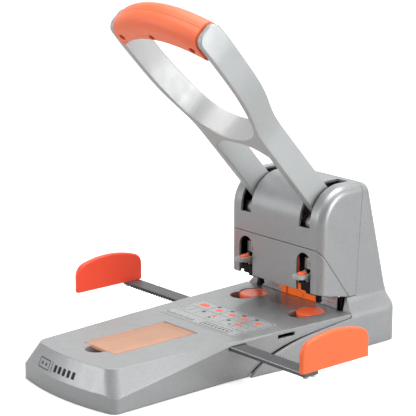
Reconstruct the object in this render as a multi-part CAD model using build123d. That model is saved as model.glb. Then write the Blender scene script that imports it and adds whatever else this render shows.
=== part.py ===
from build123d import *
import math
import os

# Heavy-duty two-hole lever punch for stacks of paper.
# Millimetres, +Z up. The origin is on the desk, midway between the two punches.
# -Y is the nose of the table, +Y is the rear, +X is the right side seen from the nose.

# ---------------------------------------------------------------- driving dimensions
punch_spacing = 80.0          # standard distance between the two holes
margin = 12.0                 # hole centre to paper edge (back stop)
desk_gap = 0.6                # shell edge above the desk; rubber feet carry the weight

table_top = 36.0
table_skin = 2.7
shell_wall = 3.0
seam = 0.35                   # visible joint line between two mouldings
fit_gap = 0.3                 # loose clearance between moving plastics
pin_fit = 0.04                # radial running clearance of a pin

nose_centre_y = -27.0
nose_radius = 245.0
nose_corner = 8.0
nose_ridge = 14.0             # rounding between the nose facet and the side facets
nose_half_width = 67.0
waist_half_width = 65.0
waist_y = -132.0
table_rear_half_width = 72.0
table_rear_y = 11.3
cone_centre_y = -28.0
cone_radius_low = 245.0       # front facet at cone_low_z
cone_low_z = 14.0
cone_radius_top = 234.6       # front facet at the table top
facet_point = (65.0, -132.0, 33.0)
facet_normal = (0.846, -0.068, 0.526)

foot_half_width = 73.0
foot_front_half_width = 69.3
foot_front_y = -112.0
foot_wide_y = -69.0
foot_rear_y = 74.5
foot_corner = 14.0
foot_top = 36.5
flare_low = 31.0              # the foot narrows to the tower between these heights
flare_high = 49.2
flare_steps = 8
flare_rear_share = 0.42       # how far the rear wall flares, compared with the side walls

tower_half_width = 63.0
tower_front_y = -20.2
tower_edge = 8.5              # rounding along the side edges of the tower
tower_top = 156.0
arch_radius = 35.5
arch_y = tower_front_y + arch_radius
arch_z = tower_top - arch_radius
cover_wall = 2.5
seam_low = (25.4, 49.6)       # seam between cover and rear housing, (y, z)
seam_high = (32.5, 156.0)
rear_top = (43.0, 156.0)
rear_corner = 12.0
rear_low = (70.3, 46.5)
cover_seam_z = 100.8          # seam between upper and lower cover on the front
cover_tip = (17.2, 49.8)      # where the diagonal seam meets the lower edge
cover_front_low = 57.0

window_half_width = 9.5       # front windows that the exchange tabs come through
window_top = 94.0
slot_in = 33.4                # lever slots in the upper cover
slot_out = 47.4
slot_low = 118.0
slot_rear_y = 28.5

pivot_y = 16.5
pivot_z = 121.5
lever_elevation = 48.3        # rest angle of the lever above the desk
arm_in = 36.0
arm_out = 44.5
arm_width = 26.0
arm_length = 261.0            # pivot to the end of the arm
arm_end_radius = 8.5
arm_edge_radius = 1.2
axle_radius = 5.0
grip_core_radius = 4.0
grip_half_depth = 14.6
grip_end_high = 263.0         # grip heights above the pivot, along the lever
grip_end_low = 236.0
grip_crown = 277.5
grip_hollow = 252.3
grip_half_top = 56.3
grip_half_low = 57.0
grip_top_round = 11.0
grip_low_round = 4.5
crank_radius = 24.0
crank_drop = 4.0              # degrees below horizontal at rest
crank_pin_radius = 3.0
yoke_play = 0.45              # half the extra height of the slot in the ram

punch_x = punch_spacing / 2
punch_radius = 2.85
punch_bore = 2.0
punch_tip_z = 42.65
holder_low = 62.0
holder_high = 76.0
ram_half_width = 6.0
ram_front_y = -13.0
rib_low = 77.0                # ribbed front of the ram
rib_high = 87.5
foot_plate_low = 51.0         # black stripper foot under each ram guide
foot_plate_high = 54.35
guide_back_y = 6.0

tab_z = 70.5                  # underside of the exchange tab
tab_thick = 3.4
tab_front_y = -31.5
tab_half_width = 6.5
tab_neck_half_width = 5.8      # where the tab goes through the window
tab_pin_y = -12.5
tab_pin_z = 72.2
tab_pin_radius = 1.2
tab_lug_radius = 3.5
tab_lug_width = 2.7
button_y = -21.4
button_width = 6.6
button_straight = 2.4          # length of the oval's straight sides
button_proud = 2.2             # height above the tab
holder_nose_y = -17.4          # step below the tab
holder_nose_low = 57.0
holder_nose_high = 65.0

disc_radius = 14.0
disc_thick = 4.0
disc_top = 35.6
disc_y = -9.5
notch_y = -24.0
notch_radius = 12.0
notch_floor = 22.0

lid_half_width = 22.75
lid_front_y = -227.2
lid_axis_y = -136.0
lid_thick = 2.5
lid_axis_z = table_top - lid_thick / 2
store_floor = 21.0

stop_out_x = 161.4            # side stops fully pulled out
stop_thick = 5.5
stop_low = 32.8
stop_front_y = -134.6
stop_rear_y = -55.3
stop_high = 64.8

tooth_pitch = math.pi * 1.25
pinion_teeth = 32
pinion_radius = tooth_pitch * pinion_teeth / (2 * math.pi)
pinion_y = -95.5
tooth_height = 1.0            # above and below the pitch line
tooth_share = 0.38            # tooth thickness at the pitch line, part of the pitch
bar_low = 29.5
bar_high = 32.3
bar_width = 16.9
bar_inner_x = -3.0

window_plate_half = 24.0      # orange window in the back stop
back_stop_half = 52.0
back_stop_high = 50.5
sheet = 1.5
frame_in = 53.0
frame_out = 57.0
plate_low = 1.8               # steel plate that closes the bottom
plate_high = 3.4
drawer_half = 40.0            # chip drawer
drawer_front_y = 19.0
drawer_low = 4.0
drawer_high = 28.0


# ---------------------------------------------------------------- small helpers
def block(x0, x1, y0, y1, z0, z1):
    """Rectangular block between two opposite corners."""
    middle = Pos((x0 + x1) / 2, (y0 + y1) / 2, (z0 + z1) / 2)
    return middle * Box(x1 - x0, y1 - y0, z1 - z0)


def rod_x(radius, x0, x1, y, z):
    """Round rod along X."""
    return Pos((x0 + x1) / 2, y, z) * Rot(0, 90, 0) * Cylinder(radius, x1 - x0)


def rod_y(radius, y0, y1, x, z):
    """Round rod along Y."""
    return Pos(x, (y0 + y1) / 2, z) * Rot(90, 0, 0) * Cylinder(radius, y1 - y0)


def rod_z(radius, z0, z1, x, y):
    """Upright round rod."""
    return Pos(x, y, (z0 + z1) / 2) * Cylinder(radius, z1 - z0)


def side_prism(face, x0, x1):
    """Outline drawn in (y, z), extruded along X."""
    return extrude(Plane.YZ.offset(x0) * face, x1 - x0, dir=(1, 0, 0))


def plan_prism(face, z0, z1):
    """Outline drawn in (x, y), extruded upwards."""
    return extrude(Plane.XY.offset(z0) * face, z1 - z0, dir=(0, 0, 1))


def outline(points, rounding=None):
    """Closed polygon; rounding maps a point's index to its corner radius."""
    face = Polygon(*points, align=None)
    for index, radius in (rounding or {}).items():
        corner = face.vertices().sort_by_distance((points[index][0], points[index][1], 0))[0]
        face = fillet([corner], radius)
    return face


def both_sides(shape):
    """The shape and its mirror image across the middle plane."""
    return shape + mirror(shape, Plane.YZ)


def left_of(shape):
    """The left-hand copy of a right-hand part."""
    return mirror(shape, Plane.YZ)


# ---------------------------------------------------------------- body mouldings
def table_envelope(inset, low, high):
    """Table as one solid: vertical walls, sloping side facets and a conical nose facet."""
    nose_half = nose_half_width - inset
    waist_half = waist_half_width - inset
    rear_half = table_rear_half_width - inset
    sides = Polygon(
        (-nose_half, -290), (nose_half, -290), (waist_half, waist_y), (rear_half, table_rear_y),
        (-rear_half, table_rear_y), (-waist_half, waist_y), align=None)
    reach = Pos(0, nose_centre_y) * Circle(nose_radius - inset)
    reach += Pos(0, nose_centre_y + 100) * Rectangle(200, 200)
    plan = sides & reach
    plan = fillet(plan.vertices().sort_by(Axis.Y)[:2], nose_corner - inset)
    body = plan_prism(plan, low, high)

    slope = (cone_radius_low - cone_radius_top) / (table_top - cone_low_z)
    radius_low = cone_radius_low + slope * (cone_low_z - low) - inset
    radius_high = cone_radius_low + slope * (cone_low_z - high) - inset
    cone = Pos(0, cone_centre_y, (low + high) / 2) * Cone(radius_low, radius_high, high - low)
    cone += block(-100, 100, cone_centre_y, 100, low, high)
    body = body & cone

    for side in (1, -1):
        normal = Vector(side * facet_normal[0], facet_normal[1], facet_normal[2]).normalized()
        point = Vector(side * facet_point[0], facet_point[1], facet_point[2]) - normal * inset
        body = split(body, bisect_by=Plane(origin=point, z_dir=normal), keep=Keep.BOTTOM)
    ridges = [e for e in body.edges() if e.bounding_box().max.Z > high - 0.1
              and e.bounding_box().min.Z < high - 6 and e.center().Y < -200 and high > cone_low_z]
    return fillet(ridges, nose_ridge - inset) if ridges else body


def below_crease(gap):
    """Region under the curved joint line between the table and the rear housing."""
    curve = Spline((-112, -1), (-105, 5), (-85, 16), (-64, 22.5), (-44, 26), (-6, 30.5), (12.6, 32.4))
    end = curve @ 1
    start = curve @ 0
    face = make_face([curve, Line(end, (end.X, -5)), Line((end.X, -5), (start.X, -5)),
                      Line((start.X, -5), start)])
    face = Pos(-gap, gap) * face
    return side_prism(face, -90, 90)


def rack_slots():
    """Slots in both side walls that the two rack bars run through."""
    front = block(50, 90, -132.9, pinion_y - pinion_radius + 1.4, bar_low - 0.3, bar_high + 0.5)
    rear = block(50, 90, pinion_y + pinion_radius - 1.4, -57.1, bar_low - 0.3, bar_high + 0.5)
    return both_sides(front + rear)


def disc_pocket():
    """Round seat of the right punch disc and its finger notch."""
    seat = rod_z(disc_radius + fit_gap, disc_top - disc_thick, table_top + 1, punch_x, disc_y)
    notch = rod_z(notch_radius, notch_floor, table_top + 1, punch_x, notch_y)
    return seat + notch


def disc_cup():
    """Material under the right punch disc."""
    floor = disc_top - disc_thick - 3.5
    cup = rod_z(disc_radius + 3, floor, table_top - 1, punch_x, disc_y)
    return cup + rod_z(notch_radius + 2.5, notch_floor - 2.5, table_top - 1, punch_x, notch_y)


def store_pocket():
    """Compartment for spare discs, with the step that the lid rests on."""
    rear = lid_axis_y + lid_thick / 2 + 0.45
    recess = block(-lid_half_width - fit_gap, lid_half_width + fit_gap, lid_front_y - fit_gap, rear,
                   table_top - lid_thick - 0.1, table_top + 1)
    room = block(-lid_half_width + 1.4, lid_half_width - 1.4, lid_front_y + 1.4, rear,
                 store_floor, table_top)
    scoop = Pos(0, lid_front_y - fit_gap) * Ellipse(11, 13.4)
    return recess + room + plan_prism(scoop, table_top - 9, table_top + 1)


def store_cup():
    """Walls and floor of the spare disc compartment."""
    box = block(-lid_half_width - 2.5, lid_half_width + 2.5, lid_front_y - 2, -133.0,
                store_floor - 2, table_top - 1)
    scoop = Pos(0, lid_front_y) * Ellipse(13.5, 16)
    return box + plan_prism(scoop, table_top - 11.5, table_top - 1)


def base_screw_places():
    return [(side * x, y) for side in (1, -1) for x, y in ((48, -238), (54, -150), (66, 40))]


def screw_bosses(places, high):
    """Hollow posts that the bottom screws bite into."""
    posts = Part()
    for x, y in places:
        posts += rod_z(4.5, plate_high, high, x, y)
    return posts


def screw_holes(places):
    holes = Part()
    for x, y in places:
        holes += rod_z(1.6, 0, 16, x, y)
    return holes


def base_shell():
    """Front table moulding."""
    shell = table_envelope(0, desk_gap, table_top)
    shell -= table_envelope(shell_wall, desk_gap - 1, table_top - table_skin)
    shell -= block(-table_rear_half_width + shell_wall, table_rear_half_width - shell_wall,
                   0, table_rear_y + 1, -1, table_top - table_skin)
    shell -= below_crease(seam)
    shell += both_sides(disc_cup()) + store_cup()
    shell += screw_bosses(base_screw_places()[0:2] + base_screw_places()[3:5], table_top - 2)
    shell += rod_z(4.0, bar_low - 2.6, table_top - 1, 0, pinion_y)
    shell -= both_sides(disc_pocket()) + store_pocket() + rack_slots()
    shell -= screw_holes(base_screw_places())
    shell -= rod_z(1.5, 0, table_top - 4, 0, pinion_y)
    shell -= rod_x(1.25, -lid_half_width - 1.6, lid_half_width + 1.6, lid_axis_y, lid_axis_z)
    return shell


def foot_plan(inset):
    front = foot_front_half_width - inset
    wide = foot_half_width - inset
    rear = foot_rear_y - inset
    points = [(-front, foot_front_y), (front, foot_front_y), (wide, foot_wide_y), (wide, rear),
              (-wide, rear), (-wide, foot_wide_y)]
    return outline(points, {3: foot_corner - inset, 4: foot_corner - inset})


def flare():
    """S-shaped flare from the foot up to the tower, as a stack of rounded sections."""
    overlap = 0.15
    step_in = foot_half_width - tower_half_width + overlap
    sections = []
    for step in range(flare_steps + 1):
        share = step / flare_steps
        shrink = step_in * (1 + math.cos(math.pi * share)) / 2
        height = flare_high - share * (flare_high - flare_low)
        half = foot_half_width - shrink
        front = table_rear_y + seam + 0.3 * shrink
        rear = foot_rear_y - flare_rear_share * shrink
        corner = tower_edge + (foot_corner - tower_edge) * (1 - shrink / step_in)
        face = outline([(-half, front), (half, front), (half, rear), (-half, rear)],
                       {2: corner, 3: corner})
        sections.append(Plane.XY.offset(height) * face)
    return loft(sections[::-1], ruled=True)


def rear_profile(inset, low):
    """Side view of the rear half of the tower down to height low, drawn in (y, z)."""
    top = rear_top[1] - inset
    lean = (rear_low[0] - rear_top[0]) / (rear_top[1] - rear_low[1])
    rear = rear_low[0] + lean * (rear_low[1] - low)
    points = [(seam_low[0] + seam, low), (seam_low[0] + seam, seam_low[1]), (seam_high[0] + seam, top),
              (rear_top[0] + lean * inset - inset, top), (rear - inset, low)]
    return outline(points, {3: rear_corner - inset})


def rear_block(inset, low):
    """Rear half of the tower with rounded edges along its top and its slope."""
    half = tower_half_width - inset
    body = side_prism(rear_profile(inset, low), -half, half)
    rim = [e for e in body.edges() if abs(abs(e.center().X) - half) < 0.01 and e.center().Z > low + 1
           and e.center().Y > seam_high[0]]
    return fillet(rim, tower_edge - inset)


def rear_housing():
    """Rear half of the tower with the flared foot."""
    behind = table_rear_y + seam
    front_foot = plan_prism(foot_plan(0), desk_gap, foot_top) & below_crease(0)
    front_foot = front_foot & block(-90, 90, -200, behind, -5, 90)
    front_foot -= plan_prism(foot_plan(shell_wall), 0, foot_top)
    body = front_foot + (plan_prism(foot_plan(0), desk_gap, flare_low) & block(-90, 90, behind, 90, -5, 90))
    body += flare() + rear_block(0, flare_low)
    inner_half = tower_half_width - shell_wall
    body -= plan_prism(foot_plan(shell_wall), desk_gap - 1, flare_low - 1)
    inside = rear_block(shell_wall, flare_low - 2)
    body -= inside + Pos(0, -4, 0) * inside
    body -= block(-inner_half, inner_half, 0, seam_low[0] + 5, flare_low - 2, 60)
    body -= block(-drawer_half - 1, drawer_half + 1, foot_rear_y - 8, foot_rear_y + 5,
                  drawer_low - 0.4, drawer_high + 0.4)
    body += screw_bosses(base_screw_places()[2:3] + base_screw_places()[5:6], flare_low)
    return body - screw_holes(base_screw_places())


def cover_envelope(inset):
    """Tower covers as one solid: arch over the lever pivot, rounded side edges."""
    front = tower_front_y + inset
    top = tower_top - inset
    arch = arch_radius - inset
    low = cover_front_low - 12
    up = Line((front, low), (front, arch_z))
    bend = ThreePointArc((front, arch_z), (arch_y - arch * math.sqrt(0.5), arch_z + arch * math.sqrt(0.5)),
                         (arch_y, top))
    run = Line((arch_y, top), (seam_high[0], top))
    down = Line((seam_high[0], top), (seam_low[0], low))
    close = Line((seam_low[0], low), (front, low))
    half = tower_half_width - inset
    body = side_prism(make_face([up, bend, run, down, close]), -half, half)
    rim = [e for e in body.edges() if abs(abs(e.center().X) - half) < 0.01 and e.center().Z > low + 1
           and e.center().Y < seam_low[0]]
    return fillet(rim, tower_edge - inset)


def cover_shell():
    return cover_envelope(0) - (cover_envelope(cover_wall) + Pos(0, 8, 0) * cover_envelope(cover_wall)
                                + Pos(0, 0, -8) * cover_envelope(cover_wall))


def upper_cover():
    """Upper tower cover with the two lever slots."""
    region = outline([(-40, cover_seam_z), (tower_front_y - 0.9, cover_seam_z), cover_tip,
                      (seam_low[0] + 1, seam_low[1]), (60, 60), (60, 180), (-40, 180)], {1: 6})
    cover = cover_shell() & side_prism(region, -90, 90)
    slot = block(slot_in, slot_out, -40, slot_rear_y, slot_low, tower_top + 5)
    return cover - both_sides(slot)


def lower_cover():
    """Lower front cover with the two arched windows."""
    high = cover_seam_z - seam
    region = outline([(-40, cover_front_low), (tower_front_y + 2, cover_front_low),
                      (cover_tip[0] - 0.6, cover_tip[1]), (tower_front_y - 1.2, high), (-40, high)], {3: 6})
    cover = cover_shell() & side_prism(region, -90, 90)
    window = rod_y(window_half_width, -40, -10, punch_x, window_top - window_half_width)
    window += block(punch_x - window_half_width, punch_x + window_half_width, -40, -10,
                    cover_front_low - 10, window_top - window_half_width)
    return cover - both_sides(window)


def bottom_plate():
    """Steel plate that closes the underside."""
    nose = table_envelope(shell_wall + 0.6, plate_low, plate_high)
    nose = nose & block(-90, 90, -300, foot_front_y - 2, 0, 10)
    back = foot_rear_y - 4
    wide = foot_half_width - 4
    corner = foot_corner - 4
    rear = outline([(-62, foot_front_y - 2), (62, foot_front_y - 2), (wide, foot_wide_y), (wide, back),
                    (-wide, back), (-wide, foot_wide_y)], {3: corner, 4: corner})
    plate = nose + plan_prism(rear, plate_low, plate_high)
    for x, y in base_screw_places():
        plate -= rod_z(1.7, 0, 6, x, y)
    return plate


def rubber_feet():
    """Rubber strips under the body; the middle one runs under the punch line."""
    feet = block(-50, 50, -8, 8, 0, plate_low)
    feet += block(-36, 36, -252, -242, 0, plate_low)
    feet += both_sides(block(40, 56, -190, -170, 0, plate_low))
    return feet + both_sides(block(36, 56, 56, 68, 0, plate_low))


def base_screws():
    """Screws from below into the bosses."""
    screws = Part()
    for x, y in base_screw_places():
        screws += rod_z(1.55, plate_low - 0.2, 14, x, y) + rod_z(3, desk_gap, plate_low, x, y)
    return screws


# ---------------------------------------------------------------- table fittings
def storage_lid():
    """Clear hinged lid with two trunnions at its rear edge."""
    rear = lid_axis_y + lid_thick / 2
    low = table_top - lid_thick
    profile = outline([(lid_front_y, low), (rear, low), (rear, table_top), (lid_front_y, table_top)],
                      {1: lid_thick / 2 - 0.05, 2: lid_thick / 2 - 0.05})
    lid = side_prism(profile, -lid_half_width, lid_half_width)
    corners = lid.edges().filter_by(Axis.Z).sort_by(Axis.Y)[:2]
    lid = fillet(corners, 3.5)
    return lid + rod_x(1.15, -lid_half_width - 1.5, lid_half_width + 1.5, lid_axis_y, lid_axis_z)


def spare_discs():
    """Three spare punch discs in the compartment."""
    discs = Part()
    for y in (-211, -181, -151):
        discs += rod_z(disc_radius, store_floor, store_floor + disc_thick, 0, y)
    return discs


def info_label():
    """Thin label with a paper size chart."""
    face = outline([(-52, -118.4), (52, -118.4), (52, -63), (-52, -63)], {0: 3, 1: 3, 2: 3, 3: 3})
    return plan_prism(face, table_top, table_top + 0.25)


def punch_disc_right():
    """Replaceable cutting disc that the right punch lands on."""
    disc = rod_z(disc_radius, disc_top - disc_thick + 0.02, disc_top, punch_x, disc_y)
    return chamfer(disc.edges().filter_by(GeomType.CIRCLE).sort_by(Axis.Z)[-1:], 0.5)


def tooth_polygon(turn_point):
    """Tooth corners from root to tip, as (offset along the pitch line, height) pairs."""
    half = tooth_share * tooth_pitch / 2
    lean = 0.36 * tooth_height
    return [turn_point(-half - lean, -tooth_height), turn_point(-half + lean, tooth_height),
            turn_point(half - lean, tooth_height), turn_point(half + lean, -tooth_height)]


def rack_bar_right():
    """Flat bar with a rack along its rear edge, carried by the right side stop."""
    pitch_y = pinion_y - pinion_radius
    root_y = pitch_y - tooth_height
    front_y = pitch_y - bar_width
    points = [(stop_out_x, root_y), (stop_out_x, front_y), (bar_inner_x - 1, front_y),
              (bar_inner_x - 1, root_y)]
    first = math.ceil((bar_inner_x + 1) / tooth_pitch - 0.5)
    last = int((stop_out_x - stop_thick - 4) / tooth_pitch)
    for index in range(first, last):
        middle = (index + 0.5) * tooth_pitch
        points += tooth_polygon(lambda along, high: (middle + along, pitch_y + high))
    bar = plan_prism(Polygon(*points, align=None), bar_low, bar_high)
    bar += block(stop_out_x - stop_thick, stop_out_x, front_y, root_y, bar_low, stop_low)
    for x, y in stop_screw_places():
        bar -= rod_z(1.6, 0, 60, x, y)
    return bar


def half_turn(shape):
    """The shape turned half a turn about the pinion's axis."""
    return Pos(0, pinion_y, 0) * Rot(0, 0, 180) * Pos(0, -pinion_y, 0) * shape


def rack_bar_left():
    return half_turn(rack_bar_right())


def centring_pinion():
    """Pinion that keeps both side stops at the same distance."""
    points = []
    for index in range(pinion_teeth):
        turn = 2 * math.pi * (index / pinion_teeth)
        points += tooth_polygon(lambda along, high: (
            (pinion_radius + high) * math.cos(turn + along / (pinion_radius + high)),
            (pinion_radius + high) * math.sin(turn + along / (pinion_radius + high))))
    wheel = plan_prism(Pos(0, pinion_y) * Polygon(*points, align=None), bar_low, bar_high)
    return wheel - rod_z(4.0 + pin_fit, 0, 60, 0, pinion_y)


def pinion_screw():
    """Shouldered screw that holds the pinion on its post."""
    return rod_z(1.45, bar_low - 2.6, table_top - 6, 0, pinion_y) + rod_z(
        6, bar_low - 4.4, bar_low - 2.6, 0, pinion_y)


def rack_keeper():
    """Plate under both bars."""
    keeper = block(-58, 58, -132.5, -57.5, bar_low - 2.6, bar_low - 0.25)
    keeper -= rod_z(7, 0, 60, 0, pinion_y)
    return keeper


def stop_screw_places():
    x = stop_out_x - stop_thick / 2
    front_y = pinion_y - pinion_radius - bar_width
    return [(x, front_y + 4), (x, front_y + 12)]


def paper_stop(screw_places):
    """Paper stop, a low upright shell with a domed top edge."""
    front_high, rear_high = 57.5, 56.5
    dome = ThreePointArc((stop_front_y, front_high), (-97, stop_high), (stop_rear_y, rear_high))
    face = make_face([Line((stop_front_y, stop_low), (stop_front_y, front_high)), dome,
                      Line((stop_rear_y, rear_high), (stop_rear_y, stop_low)),
                      Line((stop_rear_y, stop_low), (stop_front_y, stop_low))])
    for y, z, radius in ((stop_front_y, front_high, 13), (stop_rear_y, rear_high, 11)):
        face = fillet([face.vertices().sort_by_distance((y, z, 0))[0]], radius)
    stop = side_prism(face, stop_out_x - stop_thick, stop_out_x)
    rim = stop.edges().filter_by(lambda e: e.center().Z > stop_low + 1).filter_by(Axis.X, reverse=True)
    stop = fillet(rim, 1.8)
    for x, y in screw_places:
        stop -= rod_z(1.45, 0, stop_low + 7, x, y)
    return stop


def side_stop_right():
    return paper_stop(stop_screw_places())


def side_stop_left():
    """Mirror image of the right stop, screwed to the rear bar."""
    return left_of(paper_stop([(x, 2 * pinion_y - y) for x, y in stop_screw_places()]))


def stop_screws_right():
    screws = Part()
    for x, y in stop_screw_places():
        screws += rod_z(1.4, bar_low - 0.4, stop_low + 6.5, x, y)
        screws += rod_z(2.6, bar_low - 1.8, bar_low, x, y)
    return screws


def stop_screws_left():
    return half_turn(stop_screws_right())


# ---------------------------------------------------------------- lever
def upright_lever_to_rest(shape):
    """Parts of the lever are drawn upright about the pivot, then leaned forward to rest."""
    return Pos(0, pivot_y, pivot_z) * Rot(90 - lever_elevation, 0, 0) * shape


def lever_face():
    """Front view of the lever in (x, distance from the pivot): legs, bow and cross-member."""
    bow_out = Spline((arm_out, 114), (46.5, 135), (56, 161), (62.5, 190), (64, 222), (62.5, arm_length),
                     tangents=[(0, 1), (-0.1, 1)])
    bow_in = Spline((56.6, arm_length), (58, 222), (56.5, 190), (51, 162), (38.5, 134.5), (22, 123), (0, 119),
                    tangents=[(0.1, -1), (-1, 0)])
    side_line = Line((arm_out, 0), (arm_out, 114))
    tip = Line((62.5, arm_length), (56.6, arm_length))
    under = ThreePointArc((0, 113.8), (22, 111), (arm_in, 102))
    leg_in = Line((arm_in, 102), (arm_in, 0))
    foot = Line((arm_in, 0), (arm_out, 0))
    middle = Line((0, 119), (0, 113.8))
    return make_face([side_line, bow_out, tip, bow_in, middle, under, leg_in, foot])


def arm_hub():
    """Round end of the right arm with the crank lobe, drawn in the plane of the arm."""
    hub = rod_x(arm_width / 2, arm_in, arm_out, 0, 0)
    angle = math.radians(90 - lever_elevation - crank_drop)
    reach = (-crank_radius * math.cos(angle), crank_radius * math.sin(angle))
    lobe = rod_x(6.5, arm_in, arm_out, *reach)
    across = (math.sin(angle) * 6.5, math.cos(angle) * 6.5)
    web = outline([(across[0] * 1.6, across[1] * 1.6), (reach[0] + across[0], reach[1] + across[1]),
                   (reach[0] - across[0], reach[1] - across[1]), (-across[0] * 1.6, -across[1] * 1.6)])
    return hub + lobe + side_prism(web, arm_in, arm_out), reach


def grip_core(radius):
    """Bowed round bar between the ends of the arms, inside the grip."""
    path = ThreePointArc((-58.5, 0, 252), (0, 0, 266), (58.5, 0, 252))
    return sweep(Plane(origin=path @ 0, z_dir=path % 0) * Circle(radius), path=path)


def lever_frame():
    """Cast lever: two legs, a wide bow, a cross-member and the core of the grip."""
    half = extrude(Plane.XZ.offset(arm_width / 2) * lever_face(), -arm_width)
    ends = half.edges().filter_by(lambda e: abs(e.center().Z - arm_length) < 0.01 and abs(e.center().Y) > 12)
    half = fillet(ends, arm_end_radius)
    long_edges = half.edges().filter_by(lambda e: abs(abs(e.center().Y) - arm_width / 2) < 0.01)
    half = fillet([e for e in long_edges if e.length > 20 and abs(e.center().X) > 5], arm_edge_radius)
    hub, reach = arm_hub()
    right = half + hub
    right -= rod_x(axle_radius + pin_fit, 0, 80, 0, 0)
    right -= rod_x(crank_pin_radius + 0.02, 0, 80, *reach)
    return upright_lever_to_rest(both_sides(right) + grip_core(grip_core_radius))


def crank_pins():
    """Pins that drive the two rams."""
    pin = rod_x(crank_pin_radius, arm_in - 5.2, arm_out + 5.2, *arm_hub()[1])
    return upright_lever_to_rest(both_sides(pin))


def grip_body():
    """Whole grip before it is split along its parting line, with soft edges."""
    top_right = (grip_half_top, grip_end_high)
    top_left = (-grip_half_top, grip_end_high)
    low_right = (grip_half_low, grip_end_low)
    low_left = (-grip_half_low, grip_end_low)
    crown = ThreePointArc(top_left, (0, grip_crown), top_right)
    right = Line(top_right, low_right)
    hollow = ThreePointArc(low_right, (0, grip_hollow), low_left)
    left = Line(low_left, top_left)
    face = make_face([crown, right, hollow, left])
    body = extrude(Plane.XZ.offset(grip_half_depth) * face, -2 * grip_half_depth)
    long_edges = body.edges().filter_by(lambda e: abs(abs(e.center().Y) - grip_half_depth) < 0.01
                                        and e.length > 80).sort_by(Axis.Z)
    body = fillet(long_edges[2:], grip_top_round)
    low_edges = body.edges().filter_by(lambda e: abs(abs(e.center().Y) - grip_half_depth) < 0.01
                                       and e.length > 80).sort_by(Axis.Z)
    return fillet(low_edges[:2], grip_low_round)


def grip_screw_places():
    return [(-48, 250.2), (0, 257.8), (48, 250.2)]


def grip_upper():
    """Rear half of the grip."""
    half = grip_body() & block(-90, 90, 0.1, 30, 200, 320)
    for x, height in grip_screw_places():
        half -= rod_y(1.3, -20, 10, x, height)
    return upright_lever_to_rest(half - grip_core(grip_core_radius + 0.05))


def grip_lower():
    """Front half of the grip with the screw recesses."""
    half = grip_body() & block(-90, 90, -30, -0.1, 200, 320)
    for x, height in grip_screw_places():
        half -= rod_y(3.4, -20, -9, x, height) + rod_y(1.4, -20, 10, x, height)
    return upright_lever_to_rest(half - grip_core(grip_core_radius + 0.05))


def grip_screws():
    screws = Part()
    for x, height in grip_screw_places():
        screws += rod_y(2.8, -11.5, -9, x, height) + rod_y(1.25, -9, 8, x, height)
    return upright_lever_to_rest(screws)


def lever_axle():
    """Axle that the lever turns on."""
    return rod_x(axle_radius, -59, 59, pivot_y, pivot_z)


def axle_bushes():
    """Flanged bushes in the side plates."""
    bush = rod_x(7.5, frame_in - 0.5, frame_out + 0.5, pivot_y, pivot_z)
    bush += rod_x(9.5, frame_in - 2, frame_in - 0.05, pivot_y, pivot_z)
    return both_sides(bush - rod_x(axle_radius + 0.02, 0, 80, pivot_y, pivot_z))


def axle_spacers():
    """Tubes that keep the lever centred between the bushes."""
    tube = rod_x(8, arm_out + 0.5, frame_in - 2.1, pivot_y, pivot_z)
    return both_sides(tube - rod_x(axle_radius + 0.02, 0, 80, pivot_y, pivot_z))


def axle_clips():
    """Retaining rings near the ends of the axle."""
    ring = rod_x(7.6, frame_out + 0.6, frame_out + 1.6, pivot_y, pivot_z)
    return both_sides(ring - rod_x(axle_radius + 0.02, 0, 80, pivot_y, pivot_z))


def return_spring():
    """Torsion spring around the axle that lifts the lever."""
    coil = Helix(pitch=3.4, height=40, radius=8.4)
    start = Plane(origin=coil @ 0, z_dir=coil % 0)
    wire = sweep(start * Circle(1.1), path=coil)
    return Pos(-20, pivot_y, pivot_z) * Rot(0, 90, 0) * wire


# ---------------------------------------------------------------- frame in the tower
def frame_side_plates():
    """Steel side plates that carry the axle."""
    points = [(14.5, plate_high), (14.5, 54), (-12, 62), (-12, 121), (-2, 141), (30, 141), (35, 121),
              (50, 60), (58, 36), (58, plate_high)]
    face = outline(points, {3: 8, 4: 10, 5: 10})
    plate = side_prism(face, frame_in, frame_out)
    return both_sides(plate - rod_x(7.55, 40, 70, pivot_y, pivot_z))


def frame_cross_plate():
    """Steel plate between the side plates, behind the rams."""
    plate = block(-frame_in, frame_in, guide_back_y + 5.2, guide_back_y + 9.2, 56, 106)
    return plate + block(-frame_in, frame_in, 38, 42, 52, 96)


def frame_bolts():
    """Hexagon heads outside the side plates."""
    bolts = Part()
    for y, z in ((guide_back_y + 7.2, 66), (guide_back_y + 7.2, 96), (40, 60), (40, 88)):
        head = side_prism(Pos(y, z) * RegularPolygon(4, 6), frame_out, frame_out + 2.6)
        bolts += head
    return both_sides(bolts)


def ram_guide_right():
    """Black channel that guides the right ram."""
    back = block(punch_x - 9.2, punch_x + 9.2, guide_back_y, guide_back_y + 5, foot_plate_high + 0.05, 106)
    cheek = block(punch_x + 6.6, punch_x + 9.2, -8, guide_back_y, foot_plate_high + 0.05, 84)
    other = block(punch_x - 9.2, punch_x - 6.6, -8, guide_back_y, foot_plate_high + 0.05, 84)
    return back + cheek + other


def channel_liner_right():
    """Thin orange strip behind the inner edge of the right window."""
    edge = punch_x - window_half_width
    behind = tower_front_y + cover_wall
    return block(edge - 2, edge + 0.9, behind + 0.05, behind + 0.85, 64, 88)


def stripper_foot_right():
    """Black plate under the guide that strips the paper off the right punch."""
    foot = block(punch_x - 9.2, punch_x + 9.2, -8, guide_back_y + 5, foot_plate_low, foot_plate_high)
    return foot - rod_z(punch_radius + 0.06, 0, 80, punch_x, 0)


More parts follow.
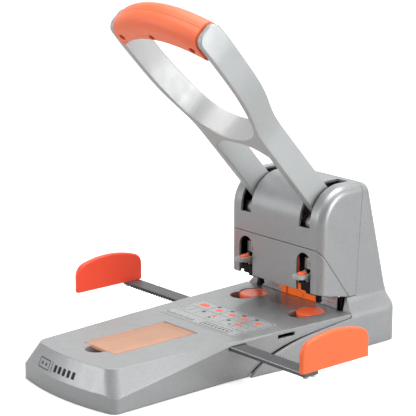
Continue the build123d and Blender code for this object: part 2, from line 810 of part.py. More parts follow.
def ram_right():
    """Steel ram with a slotted yoke for the crank pin and a ribbed front."""
    pin_y = pivot_y - crank_radius * math.cos(math.radians(crank_drop))
    pin_z = pivot_z - crank_radius * math.sin(math.radians(crank_drop))
    reach = pivot_y - crank_radius * math.cos(math.radians(35))
    body = block(punch_x - ram_half_width, punch_x + ram_half_width, ram_front_y, guide_back_y - 0.4,
                 holder_high, 98)
    for shift in (-3.6, -1.2, 1.2, 3.6):
        body -= block(punch_x + shift - 0.5, punch_x + shift + 0.5, ram_front_y - 1, ram_front_y + 0.8,
                      rib_low + 1.2, rib_high - 1.2)
    body -= block(punch_x - 10, punch_x + 10, ram_front_y - 1, ram_front_y + 2.5, 0, rib_low)
    body -= block(punch_x - 10, punch_x + 10, ram_front_y - 1, -4, rib_high, 98)
    ear_in = arm_in - 1.0
    ear_out = arm_out + 1.0
    bridge = block(ear_in - 4, ear_out + 4, ram_front_y, 2.4, 98, 106)
    ear = outline([(ram_front_y, 104), (3.6, 104), (3.6, pin_z + 6.3), (ram_front_y, pin_z + 6.3)],
                  {2: 5, 3: 6})
    ears = side_prism(ear, ear_in - 4, ear_in) + side_prism(ear, ear_out, ear_out + 4)
    half_slot = crank_pin_radius + yoke_play
    slot = block(0, 90, pin_y, reach, pin_z - half_slot, pin_z + half_slot)
    slot += rod_x(half_slot, 0, 90, pin_y, pin_z) + rod_x(half_slot, 0, 90, reach, pin_z)
    return body + bridge + ears - slot


def punch_holder_right():
    """Black holder that clamps the punch under the ram and carries the exchange tab."""
    left = punch_x - ram_half_width
    right = punch_x + ram_half_width
    lug_floor = tab_pin_z - tab_lug_radius - 0.5
    holder = block(left, right, holder_nose_y, guide_back_y - 0.4, holder_nose_low, holder_nose_high)
    holder += block(left, right, -14.5, guide_back_y - 0.4, holder_low, holder_high)
    holder -= block(left - 1, right + 1, -20, tab_pin_y + tab_lug_radius + 0.4, lug_floor, holder_high + 1)
    holder += block(punch_x - 2.8, punch_x + 2.8, tab_pin_y, -8, lug_floor - 1, tab_pin_z + 2)
    holder += rod_x(2.0, punch_x - 2.8, punch_x + 2.8, tab_pin_y, tab_pin_z)
    holder -= block(left - 1, right + 1, -10, guide_back_y, 50, holder_low)
    holder -= rod_z(punch_radius + 0.02, 0, 68, punch_x, 0)
    holder -= rod_z(4.52, 65.98, 70.02, punch_x, 0)
    return holder - rod_x(tab_pin_radius + 0.02, 0, 90, tab_pin_y, tab_pin_z)


def punch_right():
    """Hollow punch with a collar and a ground tip."""
    punch = rod_z(punch_radius, punch_tip_z, 70, punch_x, 0) + rod_z(4.5, 66, 70, punch_x, 0)
    punch -= rod_z(punch_bore, punch_tip_z - 1, 64, punch_x, 0)
    tip = punch.edges().filter_by(GeomType.CIRCLE).sort_by(Axis.Z)
    return chamfer([e for e in tip if abs(e.center().Z - punch_tip_z) < 0.01 and e.radius > 2.5], 0.6)


def tab_pin_right():
    return rod_x(tab_pin_radius, punch_x - 5.6, punch_x + 5.6, tab_pin_y, tab_pin_z)


def button_outline(grow):
    return Pos(punch_x, button_y) * SlotCenterToCenter(button_straight, button_width + 2 * grow, rotation=90)


def exchange_tab_right():
    """Grey lever that frees the punch, with two fins below."""
    plan = outline([(punch_x - tab_half_width, tab_front_y), (punch_x + tab_half_width, tab_front_y),
                    (punch_x + tab_neck_half_width, -16), (punch_x - tab_neck_half_width, -16)],
                   {0: 5.5, 1: 5.5})
    tab = plan_prism(plan, tab_z, tab_z + tab_thick)
    for x0 in (punch_x - tab_neck_half_width, punch_x + tab_neck_half_width - tab_lug_width):
        tab += block(x0, x0 + tab_lug_width, -16.4, tab_pin_y, tab_z, tab_z + tab_thick)
        tab += rod_x(tab_lug_radius, x0, x0 + tab_lug_width, tab_pin_y, tab_pin_z)
    for shift in (-3.2, 3.2):
        fin = outline([(-23, tab_z + 0.5), (-15.6, tab_z + 0.5), (-15.6, tab_z - 4), (-18, tab_z - 4.5)])
        tab += side_prism(fin, punch_x + shift - 0.8, punch_x + shift + 0.8)
    tab -= plan_prism(button_outline(0.3), tab_z + 1.0, tab_z + 10)
    return tab - rod_x(tab_pin_radius + pin_fit, 0, 90, tab_pin_y, tab_pin_z)


def release_button_right():
    """Orange oval button on the exchange tab."""
    button = plan_prism(button_outline(0), tab_z + button_proud, tab_z + tab_thick + button_proud)
    rim = button.edges().filter_by(lambda e: abs(e.center().Z - tab_z - tab_thick - button_proud) < 0.01)
    return fillet(rim, 1.4)


def back_stop_plate():
    """Silver paper stop with an opening for the clear window."""
    plate = block(-back_stop_half, back_stop_half, margin, margin + sheet, table_top + 0.1, back_stop_high)
    return plate - block(-window_plate_half - 0.1, window_plate_half + 0.1, 0, 40, 0, back_stop_high - 0.9)


def margin_window():
    """Clear orange window in the paper stop."""
    return block(-window_plate_half, window_plate_half, margin, margin + sheet, table_top + 0.1,
                 back_stop_high - 1)


def chip_drawer():
    """Open tray for the paper chips, pulled out at the rear."""
    tray = block(-drawer_half, drawer_half, drawer_front_y, foot_rear_y - 0.3, drawer_low, drawer_high)
    tray -= block(-drawer_half + 2, drawer_half - 2, drawer_front_y + 2, foot_rear_y - 3.3,
                  drawer_low + 2, drawer_high + 5)
    return tray - rod_z(9, drawer_high - 6, drawer_high + 5, 0, foot_rear_y + 2)


RIGHT_AND_LEFT = {
    "punch_disc": punch_disc_right,
    "ram": ram_right,
    "punch_holder": punch_holder_right,
    "punch": punch_right,
    "tab_pin": tab_pin_right,
    "exchange_tab": exchange_tab_right,
    "release_button": release_button_right,
    "ram_guide": ram_guide_right,
    "channel_liner": channel_liner_right,
    "stripper_foot": stripper_foot_right,
}

SINGLE = [
    base_shell, rear_housing, upper_cover, lower_cover, bottom_plate, rubber_feet, base_screws,
    storage_lid, spare_discs, info_label, rack_bar_right, rack_bar_left, centring_pinion, pinion_screw,
    rack_keeper, side_stop_right, side_stop_left, stop_screws_right, stop_screws_left, lever_frame,
    crank_pins, grip_upper, grip_lower, grip_screws, lever_axle, axle_bushes, axle_spacers, axle_clips,
    return_spring, frame_side_plates, frame_cross_plate, frame_bolts, back_stop_plate, margin_window,
    chip_drawer,
]

os.makedirs("parts", exist_ok=True)
for make in SINGLE:
    export_step(make(), f"parts/{make.__name__}.step")
for name, make in RIGHT_AND_LEFT.items():
    part = make()
    export_step(part, f"parts/{name}_right.step")
    export_step(left_of(part), f"parts/{name}_left.step")
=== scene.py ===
import math

import bmesh
import bpy
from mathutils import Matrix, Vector


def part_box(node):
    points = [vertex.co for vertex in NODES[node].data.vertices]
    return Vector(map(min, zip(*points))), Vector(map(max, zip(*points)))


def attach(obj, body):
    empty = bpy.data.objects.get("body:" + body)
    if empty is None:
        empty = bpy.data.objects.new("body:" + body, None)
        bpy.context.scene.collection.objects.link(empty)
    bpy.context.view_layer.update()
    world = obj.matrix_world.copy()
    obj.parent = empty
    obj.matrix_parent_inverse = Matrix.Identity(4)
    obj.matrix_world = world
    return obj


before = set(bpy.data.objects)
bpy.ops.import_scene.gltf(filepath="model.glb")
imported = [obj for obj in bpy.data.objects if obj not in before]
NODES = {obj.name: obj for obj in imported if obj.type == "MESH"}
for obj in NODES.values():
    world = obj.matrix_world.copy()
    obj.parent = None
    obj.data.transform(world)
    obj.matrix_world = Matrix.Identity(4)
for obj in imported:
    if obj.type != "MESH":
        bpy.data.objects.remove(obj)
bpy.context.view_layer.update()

# Looks of a heavy-duty paper punch. Metres, in the CAD model's own frame: +Z up, -Y the nose.

MM = 0.001
SCENE = bpy.context.scene


# ------------------------------------------------------------------ small helpers
def linear(red, green, blue, alpha=1.0):
    """Display colour, 0 to 255 a channel, as the linear colour that shaders want."""
    def one(value):
        value /= 255
        return value / 12.92 if value <= 0.04045 else ((value + 0.055) / 1.055) ** 2.4
    return (one(red), one(green), one(blue), alpha)


class Shader:
    """One Principled material, with short calls for the nodes that drive it."""

    def __init__(self, name):
        self.material = bpy.data.materials.new(name)
        self.material.use_nodes = True
        self.tree = self.material.node_tree
        self.surface = self.tree.nodes["Principled BSDF"]
        self.place = self.add("ShaderNodeTexCoord").outputs["Object"]
        self.rounded = None

    def add(self, kind, **settings):
        node = self.tree.nodes.new(kind)
        for key, value in settings.items():
            setattr(node, key, value)
        return node

    def wire(self, source, target):
        self.tree.links.new(source, target)

    def feed(self, node, key, value):
        """Sets an input to a number or colour, or wires it to another node's output."""
        if isinstance(value, bpy.types.NodeSocket):
            self.wire(value, node.inputs[key])
        else:
            node.inputs[key].default_value = value

    def stretched(self, x, y, z):
        """Object coordinates scaled along each axis, for brushed or drawn surfaces."""
        node = self.add("ShaderNodeMapping")
        self.wire(self.place, node.inputs["Vector"])
        node.inputs["Scale"].default_value = (x, y, z)
        return node.outputs["Vector"]

    def noise(self, scale, detail=2.0, place=None):
        node = self.add("ShaderNodeTexNoise")
        self.wire(place or self.place, node.inputs["Vector"])
        node.inputs["Scale"].default_value = scale
        node.inputs["Detail"].default_value = detail
        return node.outputs["Fac"]

    def flakes(self, scale):
        """Random value for each small cell, like the flakes in a metallic paint."""
        node = self.add("ShaderNodeTexVoronoi")
        self.wire(self.place, node.inputs["Vector"])
        node.inputs["Scale"].default_value = scale
        split = self.add("ShaderNodeSeparateColor")
        self.wire(node.outputs["Color"], split.inputs["Color"])
        return split.outputs["Red"]

    def remap(self, value, from_low, from_high, to_low, to_high):
        node = self.add("ShaderNodeMapRange", clamp=True)
        for key, number in (("Value", value), ("From Min", from_low), ("From Max", from_high),
                            ("To Min", to_low), ("To Max", to_high)):
            self.feed(node, key, number)
        return node.outputs["Result"]

    def math(self, operation, first, second):
        node = self.add("ShaderNodeMath", operation=operation)
        self.feed(node, 0, first)
        self.feed(node, 1, second)
        return node.outputs["Value"]

    def mix(self, share, first, second):
        node = self.add("ShaderNodeMix", data_type="RGBA")
        self.feed(node, 0, share)
        self.feed(node, 6, first)
        self.feed(node, 7, second)
        return node.outputs[2]

    def edges(self, radius):
        """1 on worn edges and 0 on open faces, from how far a rounded normal leans away."""
        bevel = self.add("ShaderNodeBevel", samples=4)
        bevel.inputs["Radius"].default_value = radius
        self.rounded = bevel.outputs["Normal"]
        flat = self.add("ShaderNodeNewGeometry").outputs["Normal"]
        dot = self.add("ShaderNodeVectorMath", operation="DOT_PRODUCT")
        self.wire(bevel.outputs["Normal"], dot.inputs[0])
        self.wire(flat, dot.inputs[1])
        return self.remap(dot.outputs["Value"], 0.97, 0.72, 0.0, 1.0)

    def bump(self, height, distance, strength=1.0, below=None):
        node = self.add("ShaderNodeBump")
        self.wire(height, node.inputs["Height"])
        node.inputs["Distance"].default_value = distance
        node.inputs["Strength"].default_value = strength
        below = below or self.rounded
        if below is not None:
            self.wire(below, node.inputs["Normal"])
        return node.outputs["Normal"]

    def done(self, **inputs):
        for key, value in inputs.items():
            self.feed(self.surface, key.replace("_", " "), value)
        return self.material


def scaled(colour, factor):
    return tuple(min(1.0, channel * factor) for channel in colour[:3]) + (colour[3],)


# ------------------------------------------------------------------ materials
def metallic_paint(name, colour, flake_share=0.16, roughness=0.34, metallic=0.55, coat=0.25,
                   edge_tone=1.45):
    """Silver paint: flakes of two sizes, slow drift of tone, orange peel and rubbed edges."""
    s = Shader(name)
    drift = s.noise(14, 3)
    coarse = s.flakes(900)
    fine = s.flakes(2600)
    grain = s.math("ADD", s.math("MULTIPLY", coarse, 0.5), s.math("MULTIPLY", fine, 0.5))
    tone = s.mix(s.remap(drift, 0.3, 0.7, 0, 1), scaled(colour, 0.95), scaled(colour, 1.05))
    speckled = s.mix(grain, scaled(colour, 1 - flake_share), scaled(colour, 1 + flake_share))
    base = s.mix(0.6, tone, speckled)
    worn = s.math("MULTIPLY", s.edges(0.0012), s.remap(s.noise(160, 3), 0.35, 0.7, 0.1, 0.75))
    base = s.mix(worn, base, scaled(colour, edge_tone))
    peel = s.bump(s.noise(700, 1), 0.00006, 0.5)
    normal = s.bump(fine, 0.00003, 0.35, peel)
    rough = s.remap(s.noise(90, 3), 0.3, 0.7, roughness - 0.05, roughness + 0.07)
    return s.done(Base_Color=base, Roughness=rough, Metallic=metallic, Coat_Weight=coat,
                  Coat_Roughness=0.07, Normal=normal)


def moulded_plastic(name, colour, roughness=0.36, grain=420, depth=0.00005, sheen=0.0, shine=0.5,
                    painted_glow=0.0, edge_colour=None):
    """Coloured plastic: spark-eroded grain, slight drift, paler rubbed edges, fine scratches, and an optional
    painted glow: emission that brightens the part as if more light reached it.
    """
    s = Shader(name)
    drift = s.remap(s.noise(22, 3), 0.3, 0.7, 0, 1)
    base = s.mix(drift, scaled(colour, 0.96), scaled(colour, 1.03))
    fleck = s.remap(s.noise(1600, 2), 0.35, 0.65, 0, 1)
    base = s.mix(s.math("MULTIPLY", fleck, 0.15), base, scaled(colour, 0.88))
    worn = s.math("MULTIPLY", s.edges(0.0009), s.remap(s.noise(240, 2), 0.35, 0.7, 0.05, 0.5))
    base = s.mix(worn, base, edge_colour or scaled(colour, 1.5))
    scratch = s.noise(60, 6, s.stretched(1, 9, 3))
    rough = s.remap(scratch, 0.35, 0.65, roughness - 0.05, roughness + 0.09)
    grainy = s.bump(s.noise(grain * 3, 2), depth, 0.6)
    normal = s.bump(s.noise(grain, 1), depth * 0.6, 0.4, grainy)
    return s.done(Base_Color=base, Roughness=rough, Normal=normal, Sheen_Weight=sheen,
                  Specular_IOR_Level=shine, Emission_Color=colour, Emission_Strength=painted_glow)


def machined_steel(name, colour, roughness=0.26, along=(2400, 160, 160)):
    """Steel with fine machining lines, dark specks and bright edges."""
    s = Shader(name)
    lines = s.noise(1, 5, s.stretched(*along))
    base = s.mix(s.remap(lines, 0.3, 0.7, 0, 1), scaled(colour, 0.8), scaled(colour, 1.1))
    speck = s.remap(s.noise(500, 3), 0.62, 0.75, 0, 0.5)
    base = s.mix(speck, base, scaled(colour, 0.45))
    base = s.mix(s.math("MULTIPLY", s.edges(0.0006), 0.7), base, scaled(colour, 1.3))
    rough = s.remap(lines, 0.3, 0.7, roughness - 0.06, roughness + 0.14)
    return s.done(Base_Color=base, Roughness=rough, Metallic=1.0, Normal=s.bump(lines, 0.00004, 0.5))


def rubber(name, colour):
    s = Shader(name)
    base = s.mix(s.remap(s.noise(120, 4), 0.3, 0.7, 0, 1), scaled(colour, 0.75), scaled(colour, 1.4))
    dust = s.math("MULTIPLY", s.edges(0.0008), 0.5)
    base = s.mix(dust, base, linear(110, 110, 108))
    rough = s.remap(s.noise(260, 2), 0.3, 0.7, 0.7, 0.9)
    return s.done(Base_Color=base, Roughness=rough, Normal=s.bump(s.noise(900, 2), 0.0001, 0.7))


def tinted_clear(name, colour, solid_share=0.5, roughness=0.08, painted_glow=0.0, edge_colour=None):
    """Clear tinted plastic: part see-through, part body colour, with deeper edges, fine scuffs and an optional
    painted glow: emission that brightens the part as if more light reached it.
    """
    s = Shader(name)
    drift = s.remap(s.noise(30, 2), 0.3, 0.7, 0, 1)
    base = s.mix(drift, scaled(colour, 0.93), scaled(colour, 1.07))
    base = s.mix(s.edges(0.0012), base, edge_colour or scaled(colour, 0.8))
    scuff = s.noise(90, 4, s.stretched(1, 5, 1))
    rough = s.remap(scuff, 0.45, 0.75, roughness, roughness + 0.1)
    return s.done(Base_Color=base, Roughness=rough, Alpha=solid_share,
                  Coat_Weight=0.8, Coat_Roughness=0.04, Emission_Color=colour, Emission_Strength=painted_glow,
                  Normal=s.bump(scuff, 0.000005, 0.2))


def printed_film(name, colour):
    s = Shader(name)
    base = s.mix(s.remap(s.noise(40, 3), 0.3, 0.7, 0, 1), scaled(colour, 0.97), scaled(colour, 1.03))
    rough = s.remap(s.noise(300, 3), 0.3, 0.7, 0.24, 0.34)
    return s.done(Base_Color=base, Roughness=rough, Metallic=0.3, Normal=s.bump(s.noise(300, 1), 0.00001, 0.2))


def ink(name, colour):
    s = Shader(name)
    base = s.mix(s.remap(s.noise(900, 2), 0.4, 0.7, 0, 1), colour, scaled(colour, 1.25))
    rough = s.remap(s.noise(500, 2), 0.3, 0.7, 0.35, 0.5)
    return s.done(Base_Color=base, Roughness=rough, Normal=s.bump(s.noise(2000, 1), 0.00001, 0.3))


BODY = metallic_paint("body_silver", linear(158, 160, 161), metallic=0.45, coat=0.4)
LEVER = metallic_paint("lever_silver", linear(178, 181, 181), flake_share=0.08, roughness=0.42,
                       metallic=0.4, coat=0.1, edge_tone=0.5)
PLATE = metallic_paint("plate_silver", linear(208, 210, 212), flake_share=0.06, roughness=0.22)
ORANGE = moulded_plastic("orange_plastic", linear(255, 112, 58), roughness=0.34)
# Painted glow on the left side stop: emission brightens it beyond what the lamps give.
RED_ORANGE = moulded_plastic("red_orange_plastic", linear(255, 80, 50), roughness=0.34, painted_glow=0.1)
# Painted glow on the punch discs and release buttons: emission lifts them out of the shade under the tower.
GLOSS_ORANGE = moulded_plastic("gloss_orange", linear(255, 112, 70), roughness=0.14, depth=0.00002,
                               painted_glow=0.18)
# Spare discs: the disc orange muted darker, painted shade for the shadow under the storage lid.
SHADED_SPARE_ORANGE = moulded_plastic("spare_disc_painted_shade", linear(190, 120, 92))
GRIP = moulded_plastic("grip_orange", linear(255, 118, 74), roughness=0.42, sheen=0.05,
                       edge_colour=linear(240, 70, 30))
BLACK = moulded_plastic("black_plastic", linear(17, 18, 20), roughness=0.5, shine=0.2)
GREY = moulded_plastic("grey_plastic", linear(176, 178, 180), roughness=0.32)
RACK = moulded_plastic("rack_grey", linear(84, 86, 88), roughness=0.4)
STEEL = machined_steel("machined_steel", linear(205, 205, 204))
DARK_STEEL = machined_steel("black_steel", linear(40, 42, 45), roughness=0.45)
RUBBER = rubber("rubber", linear(34, 34, 35))
CLEAR = tinted_clear("clear_orange", linear(255, 186, 142), solid_share=0.42,
                     edge_colour=linear(255, 90, 50))
# Painted glow on the margin window: emission lights it in the shade under the tower.
WINDOW = tinted_clear("window_orange", linear(255, 116, 14), solid_share=0.74, painted_glow=0.34)
LABEL = printed_film("label_film", linear(176, 178, 178))
DARK_INK = ink("dark_ink", linear(48, 49, 52))
GREY_INK = ink("grey_ink", linear(120, 122, 126))
RED_INK = ink("red_ink", linear(200, 20, 30))
CUT_RED = ink("cut_red", linear(205, 60, 30))
ORANGE_INK = ink("orange_ink", linear(236, 92, 52))

NODE_MATERIALS = {
    BODY: ["base_shell", "rear_housing", "upper_cover", "lower_cover"],
    PLATE: ["back_stop_plate"],
    LEVER: ["lever_frame"],
    ORANGE: ["side_stop_right", "channel_liner_left", "channel_liner_right"],
    RED_ORANGE: ["side_stop_left"],
    SHADED_SPARE_ORANGE: ["spare_discs"],
    GLOSS_ORANGE: ["punch_disc_left", "punch_disc_right", "release_button_left", "release_button_right"],
    GRIP: ["grip_upper", "grip_lower"],
    BLACK: ["centring_pinion", "rack_keeper", "axle_bushes", "axle_spacers", "chip_drawer",
            "punch_holder_left", "punch_holder_right", "ram_guide_left", "ram_guide_right",
            "stripper_foot_left", "stripper_foot_right"],
    GREY: ["exchange_tab_left", "exchange_tab_right"],
    RACK: ["rack_bar_left", "rack_bar_right"],
    STEEL: ["base_screws", "pinion_screw", "stop_screws_right", "stop_screws_left", "crank_pins",
            "lever_axle", "axle_clips", "return_spring", "ram_left", "ram_right", "tab_pin_left",
            "tab_pin_right"],
    DARK_STEEL: ["punch_left", "punch_right", "bottom_plate", "grip_screws", "frame_side_plates",
                 "frame_cross_plate", "frame_bolts"],
    RUBBER: ["rubber_feet"],
    CLEAR: ["storage_lid"],
    WINDOW: ["margin_window"],
    LABEL: ["info_label"],
}


def dress_nodes():
    """Gives every CAD node its material, smooth shading and softened edges."""
    for material, names in NODE_MATERIALS.items():
        for name in names:
            node = NODES[name]
            node.data.materials.clear()
            node.data.materials.append(material)
            for polygon in node.data.polygons:
                polygon.use_smooth = True
    for name, node in NODES.items():
        if name != "info_label":
            soften(node, 0.45 * MM)


def soften(piece, width, angle=35):
    """Rounds the sharp edges of a mesh a little, so that they catch the light."""
    bevel = piece.modifiers.new("soft_edges", "BEVEL")
    bevel.width = width
    bevel.segments = 2
    bevel.limit_method = "ANGLE"
    bevel.angle_limit = math.radians(angle)
    bevel.harden_normals = False
    bevel.use_clamp_overlap = True


dress_nodes()


# ------------------------------------------------------------------ detail pieces
def round_outline(x, y, half_x, half_y, corner, steps=6):
    """Rounded rectangle around (x, y); equal sizes give a circle."""
    points = []
    for sx, sy, first in ((1, 1, 0), (-1, 1, 90), (-1, -1, 180), (1, -1, 270)):
        for step in range(steps + 1):
            angle = math.radians(first + 90 * step / steps)
            points.append((x + sx * (half_x - corner) + corner * math.cos(angle),
                           y + sy * (half_y - corner) + corner * math.sin(angle)))
    return points


def dot(x, y, radius):
    return round_outline(x, y, radius, radius, radius * 0.999)


class Builder:
    """Collects closed prisms and bands in one mesh. Sizes in millimetres."""

    def __init__(self):
        self.mesh = bmesh.new()

    def ring(self, points, height, place):
        return [self.mesh.verts.new(place(Vector((x, y, height)) * MM)) for x, y in points]

    def walls(self, low, high):
        for index in range(len(low)):
            after = (index + 1) % len(low)
            self.mesh.faces.new((low[index], low[after], high[after], high[index]))

    def prism(self, points, z0, z1, place=lambda p: p):
        low = self.ring(points, z0, place)
        high = self.ring(points, z1, place)
        self.walls(low, high)
        self.mesh.faces.new(low[::-1])
        self.mesh.faces.new(high)
        return self

    def band(self, outer, inner, z0, z1, place=lambda p: p):
        """Closed frame between two outlines with the same number of points."""
        loops = [self.ring(outer, z0, place), self.ring(outer, z1, place),
                 self.ring(inner, z1, place), self.ring(inner, z0, place)]
        for index in range(4):
            self.walls(loops[index], loops[(index + 1) % 4])
        return self

    def piece(self, name, body, material, slot=None):
        bmesh.ops.recalc_face_normals(self.mesh, faces=self.mesh.faces)
        mesh = bpy.data.meshes.new(name)
        self.mesh.to_mesh(mesh)
        self.mesh.free()
        mesh.materials.append(material)
        item = bpy.data.objects.new(name, mesh)
        SCENE.collection.objects.link(item)
        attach(item, body)
        return item


def bar_outline(x0, x1, y0, y1):
    return [(x0, y0), (x1, y0), (x1, y1), (x0, y1)]


def upright(front):
    """Turns an outline in (x, z) into a piece that stands proud of a face looking along -Y."""
    return lambda point: Vector((point.x, front * MM - point.z, point.y))


def millimetres(node):
    low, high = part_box(node)
    return [value / MM for value in low], [value / MM for value in high]


def label_print():
    """Generic print on the label: frame, columns, hole symbols and a tick scale."""
    low, high = millimetres("info_label")
    base, top = high[2] - 0.02, high[2] + 0.05
    middle = ((low[0] + high[0]) / 2, (low[1] + high[1]) / 2)
    inset, frame_line, thin_line, rule_inset = 1.6, 0.45, 0.3, 4
    half = ((high[0] - low[0]) / 2 - inset, (high[1] - low[1]) / 2 - inset)
    dark = Builder()
    dark.band(round_outline(*middle, *half, 3),
              round_outline(*middle, half[0] - frame_line, half[1] - frame_line, 2.6), base, top)

    rule_y = low[1] + 17
    dark.prism(bar_outline(low[0] + rule_inset, high[0] - rule_inset, rule_y, rule_y + thin_line), base, top)
    first_column, column_step = 17.5, 17.8
    for column in range(1, 5):
        x = low[0] + first_column + (column - 0.5) * column_step
        dark.prism(bar_outline(x, x + thin_line, rule_y + 2, high[1] - rule_inset), base, top)
    row_y = high[1] - 20.5
    dark.prism(bar_outline(low[0] + 18, high[0] - rule_inset, row_y, row_y + thin_line), base, top)

    for x, y, radius in ((-22.7, -68.2, 2.0), (-4.8, -68.2, 2.0), (12.7, -68.4, 2.0), (30, -68.3, 2.0),
                         (-22.3, -88.0, 2.0), (12.9, -88.0, 2.0), (-6, -95.5, 1.4), (22, -95.5, 1.4)):
        dark.prism(dot(x, y, radius), base, top)

    scale_x, scale_y, tick_step, tick_width, short_tick, long_tick = -47, -114.5, 1.8, 0.55, 3.2, 5.5
    for index in range(22):
        x = scale_x + index * tick_step
        tall = long_tick if index % 5 == 0 else short_tick
        dark.prism(bar_outline(x, x + tick_width, scale_y, scale_y + tall), base, top)

    plaque_x, plaque_y = 21, -110.6
    dark.band(round_outline(plaque_x, plaque_y, 19, 4.6, 1.2),
              round_outline(plaque_x, plaque_y, 18.3, 3.9, 0.8), base, top)
    first_dot, dot_step = 6, 5
    for index in range(7):
        dark.prism(dot(first_dot + index * dot_step, plaque_y, 1.5), base, top)
    dark.piece("label_print_dark", "body", DARK_INK, "label")

    grey = Builder()
    grey.band(round_outline(-41, -90, 6, 7.5, 1.0), round_outline(-41, -90, 5.3, 6.8, 0.6), base, top)
    for y in (-93, -87):
        grey.prism(dot(-44, y, 0.9), base, top)
    grey.piece("label_print_icon", "body", GREY_INK, "label")

    bright = Builder()
    bright.prism(round_outline(-37.4, -74, 5.8, 3.6, 3.5), base, top)
    for x in (-15.3, 3.2, 20.6, 38.5):
        bright.prism(dot(x, -75.3, 3.4), base, top)
    bright.prism(round_outline(-5, -90, 2.4, 1.4, 1.3), base, top)
    bright.prism(round_outline(28.4, -90, 4.2, 1.7, 1.6), base, top)
    bright.piece("label_print_orange", "body", ORANGE_INK, "label")


def disc_marks(side, sign):
    """Raised rim, centre dimple and old cut rings on a punch disc."""
    low, high = millimetres(f"punch_disc_{side}")
    x, y, top = (low[0] + high[0]) / 2, (low[1] + high[1]) / 2, high[2]
    rim = Builder()
    rim.band(dot(x, y, 13.3), dot(x, y, 12.5), top - 0.05, top + 0.12)
    rim.band(dot(x, y, 2.4), dot(x, y, 1.9), top - 0.05, top + 0.10)
    rim.piece(f"disc_rim_{side}", f"disc_{side}", GLOSS_ORANGE, "orange_plastic")
    cuts = Builder()
    for turn in (0, 48, 96, 310):
        angle = math.radians(90 + sign * turn)
        place = (x + 9.5 * math.cos(angle), y + 9.5 * math.sin(angle))
        cuts.band(dot(*place, 2.95), dot(*place, 2.7), top - 0.05, top + 0.04)
    cuts.piece(f"disc_cut_rings_{side}", f"disc_{side}", CUT_RED, "orange_plastic")


def back_stop_scale(side, sign):
    """Ridges and tick marks on one half of the silver paper stop."""
    low, high = millimetres("back_stop_plate")
    inner = millimetres("margin_window")[1][0] + 1.2
    outer = high[0] - 1.0
    front = low[1]
    ends = sorted((sign * inner, sign * outer))
    standing = upright(front)
    ridges = Builder()
    for height in (low[2] + 1.6, low[2] + 5.2, low[2] + 8.8):
        ridges.prism(round_outline(sum(ends) / 2, height, (ends[1] - ends[0]) / 2, 0.35, 0.3),
                     -0.05, 0.3, standing)
    ridges.piece(f"back_stop_ridges_{side}", "body", PLATE, "silver_plastic")
    ticks = Builder()
    tick_step, half_tick = 4.5, 0.2
    for index in range(6):
        x = sign * (inner + 2 + index * tick_step)
        tip = low[2] + (4.8 if index % 2 else 3.8)
        ticks.prism(bar_outline(x - half_tick, x + half_tick, low[2] + 2.2, tip), -0.02, 0.06, standing)
    ticks.piece(f"back_stop_ticks_{side}", "body", DARK_INK, "silver_plastic")


def window_marks():
    """Red line and ring mark on the clear window of the paper stop."""
    low, high = millimetres("margin_window")
    standing = upright(low[1])
    marks = Builder()
    sunk, proud = -0.02, 0.06
    marks.prism(bar_outline(-17.3, -15.6, low[2] + 0.6, high[2] - 1), sunk, proud, standing)
    ring_x, ring_z = 6, low[2] + 3.0
    marks.band(dot(ring_x, ring_z, 1.3), dot(ring_x, ring_z, 0.8), sunk, proud, standing)
    marks.piece("window_marks", "body", RED_INK, "clear_orange")


def bar_rail(side, sign):
    """Pale flange along the outer long edge of a rack bar."""
    low, high = millimetres(f"rack_bar_{side}")
    stop_low, stop_high = millimetres(f"side_stop_{side}")
    start = low[0] + 2 if sign > 0 else stop_high[0] + 0.3
    finish = stop_low[0] - 0.3 if sign > 0 else high[0] - 2
    edge = low[1] if sign > 0 else high[1] - 1.0
    rail = Builder()
    rail.prism(round_outline((start + finish) / 2, edge + 0.5, (finish - start) / 2, 0.5, 0.4),
               bar_top() - 0.05, bar_top() + 0.3)
    rail.piece(f"bar_rail_{side}", f"stop_{side}", PLATE, "grey_plastic")


def bar_top():
    """Height of the flat tops of the rack bars, which are level with the pinion's."""
    return millimetres("centring_pinion")[1][2]


def nose_pictogram():
    """Generic two-hole symbol printed on the nose, laid on the sloping face."""
    low = millimetres("base_shell")[0]
    standing = upright(low[1] - 6)
    height, thick = 23.5, 0.2
    sheet_x = -28
    sign = Builder()
    sign.band(round_outline(sheet_x, height, 8.5, 4.2, 1.0), round_outline(sheet_x, height, 7.7, 3.4, 0.6),
              0, thick, standing)
    for x in (sheet_x - 3.2, sheet_x + 3.2):
        sign.prism(dot(x, height, 1.3), 0, thick, standing)
    sign.prism(bar_outline(-16.2, -15.4, height - 4.4, height + 4.4), 0, thick, standing)
    first_bar, bar_step = -10, 6.4
    for index in range(5):
        sign.prism(round_outline(first_bar + index * bar_step, height, 1.9, 3.0, 0.8), 0, thick, standing)
    piece = sign.piece("nose_pictogram", "body", DARK_INK, "silver_plastic")
    cut_finer(piece, 1.2)
    wrap = piece.modifiers.new("lay_on_nose", "SHRINKWRAP")
    wrap.wrap_method = "PROJECT"
    wrap.use_project_x = False
    wrap.use_project_y = True
    wrap.use_project_z = False
    wrap.use_positive_direction = True
    wrap.use_negative_direction = True
    wrap.target = NODES["base_shell"]
    wrap.wrap_mode = "OUTSIDE_SURFACE"
    wrap.offset = 0.05 * MM


def cut_finer(piece, edge_mm):
    """Splits long edges, so that a piece can follow a curved surface."""
    work = bmesh.new()
    work.from_mesh(piece.data)
    bmesh.ops.triangulate(work, faces=work.faces)
    for _ in range(3):
        long_edges = [edge for edge in work.edges if edge.calc_length() > edge_mm * MM]
        if long_edges:
            bmesh.ops.subdivide_edges(work, edges=long_edges, cuts=1)
            bmesh.ops.triangulate(work, faces=work.faces)
    work.to_mesh(piece.data)
    work.free()


label_print()
window_marks()
nose_pictogram()
for side, sign in (("right", 1), ("left", -1)):
    disc_marks(side, sign)
    back_stop_scale(side, sign)
    bar_rail(side, sign)


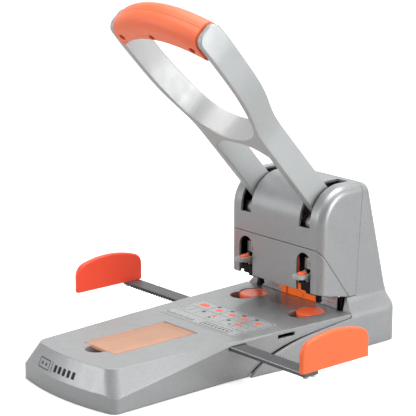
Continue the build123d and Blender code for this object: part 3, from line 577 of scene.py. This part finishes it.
# ------------------------------------------------------------------ floor, light and camera
def floor():
    mesh = bpy.data.meshes.new("floor")
    reach = 12.0
    mesh.from_pydata([(-reach, -reach, 0), (reach, -reach, 0), (reach, reach, 0), (-reach, reach, 0)],
                     [], [(0, 1, 2, 3)])
    piece = bpy.data.objects.new("floor", mesh)
    SCENE.collection.objects.link(piece)
    s = Shader("floor_paper")
    base = s.mix(s.remap(s.noise(3, 2), 0.3, 0.7, 0, 1), linear(238, 238, 238), linear(243, 243, 243))
    seen = s.add("ShaderNodeLightPath").outputs["Is Camera Ray"]
    base = s.mix(seen, linear(190, 190, 190), base)
    piece.data.materials.append(s.done(Base_Color=base, Roughness=0.8, Emission_Color=(1, 1, 1, 1),
                                       Emission_Strength=s.math("MULTIPLY", seen, 0.42)))


def area_light(name, place, target, size, power):
    data = bpy.data.lights.new(name, "AREA")
    data.shape = "RECTANGLE"
    data.size, data.size_y = size
    data.energy = power
    lamp = bpy.data.objects.new(name, data)
    SCENE.collection.objects.link(lamp)
    lamp.location = place
    lamp.rotation_euler = (Vector(target) - Vector(place)).to_track_quat("-Z", "Y").to_euler()


def studio():
    """White surroundings with two dark flags, and three soft boxes."""
    world = bpy.data.worlds.new("studio")
    SCENE.world = world
    world.use_nodes = True
    tree = world.node_tree
    backdrop = tree.nodes["Background"]
    backdrop.inputs["Color"].default_value = (1, 1, 1, 1)
    direction = tree.nodes.new("ShaderNodeTexCoord").outputs["Generated"]
    brightness = 0.90
    level = None
    for flag, reach, low in (((0.737, -0.631, 0.243), (0.55, 0.97), 0.17),
                             ((-0.737, -0.167, 0.653), (0.70, 0.97), 0.35)):
        towards = tree.nodes.new("ShaderNodeVectorMath")
        towards.operation = "DOT_PRODUCT"
        towards.inputs[1].default_value = flag
        fade = tree.nodes.new("ShaderNodeMapRange")
        fade.interpolation_type = "SMOOTHSTEP"
        for key, number in (("From Min", reach[0]), ("From Max", reach[1]), ("To Min", 1.0), ("To Max", low)):
            fade.inputs[key].default_value = number
        tree.links.new(direction, towards.inputs[0])
        tree.links.new(towards.outputs["Value"], fade.inputs["Value"])
        dimmed = tree.nodes.new("ShaderNodeMath")
        dimmed.operation = "MULTIPLY"
        dimmed.inputs[1].default_value = brightness
        tree.links.new(fade.outputs["Result"], dimmed.inputs[0])
        if level:
            tree.links.new(level, dimmed.inputs[1])
        level = dimmed.outputs["Value"]
    tree.links.new(level, backdrop.inputs["Strength"])
    centre = (0, -0.08, 0.12)
    area_light("top_softbox", (0.0, 0.1, 1.7), centre, (1.5, 1.5), 27)
    area_light("right_softbox", (1.9, 0.6, 0.45), centre, (0.9, 1.3), 22)
    area_light("nose_softbox", (-0.9, -1.7, 0.7), centre, (1.2, 0.8), 6)


def camera():
    """Long lens, a little above the table, looking over the right front corner."""
    azimuth, elevation = 49.48, 14.04
    data = bpy.data.cameras.new("camera")
    data.sensor_width = 36.0
    data.lens = 162.8
    data.clip_start, data.clip_end = 0.05, 50
    eye = bpy.data.objects.new("camera", data)
    SCENE.collection.objects.link(eye)
    eye.location = (1.2571, -1.1766, 0.5560)
    eye.rotation_euler = (math.radians(90 - elevation), 0, math.radians(azimuth))
    SCENE.camera = eye


floor()
studio()
camera()
SCENE.view_settings.view_transform = "Standard"
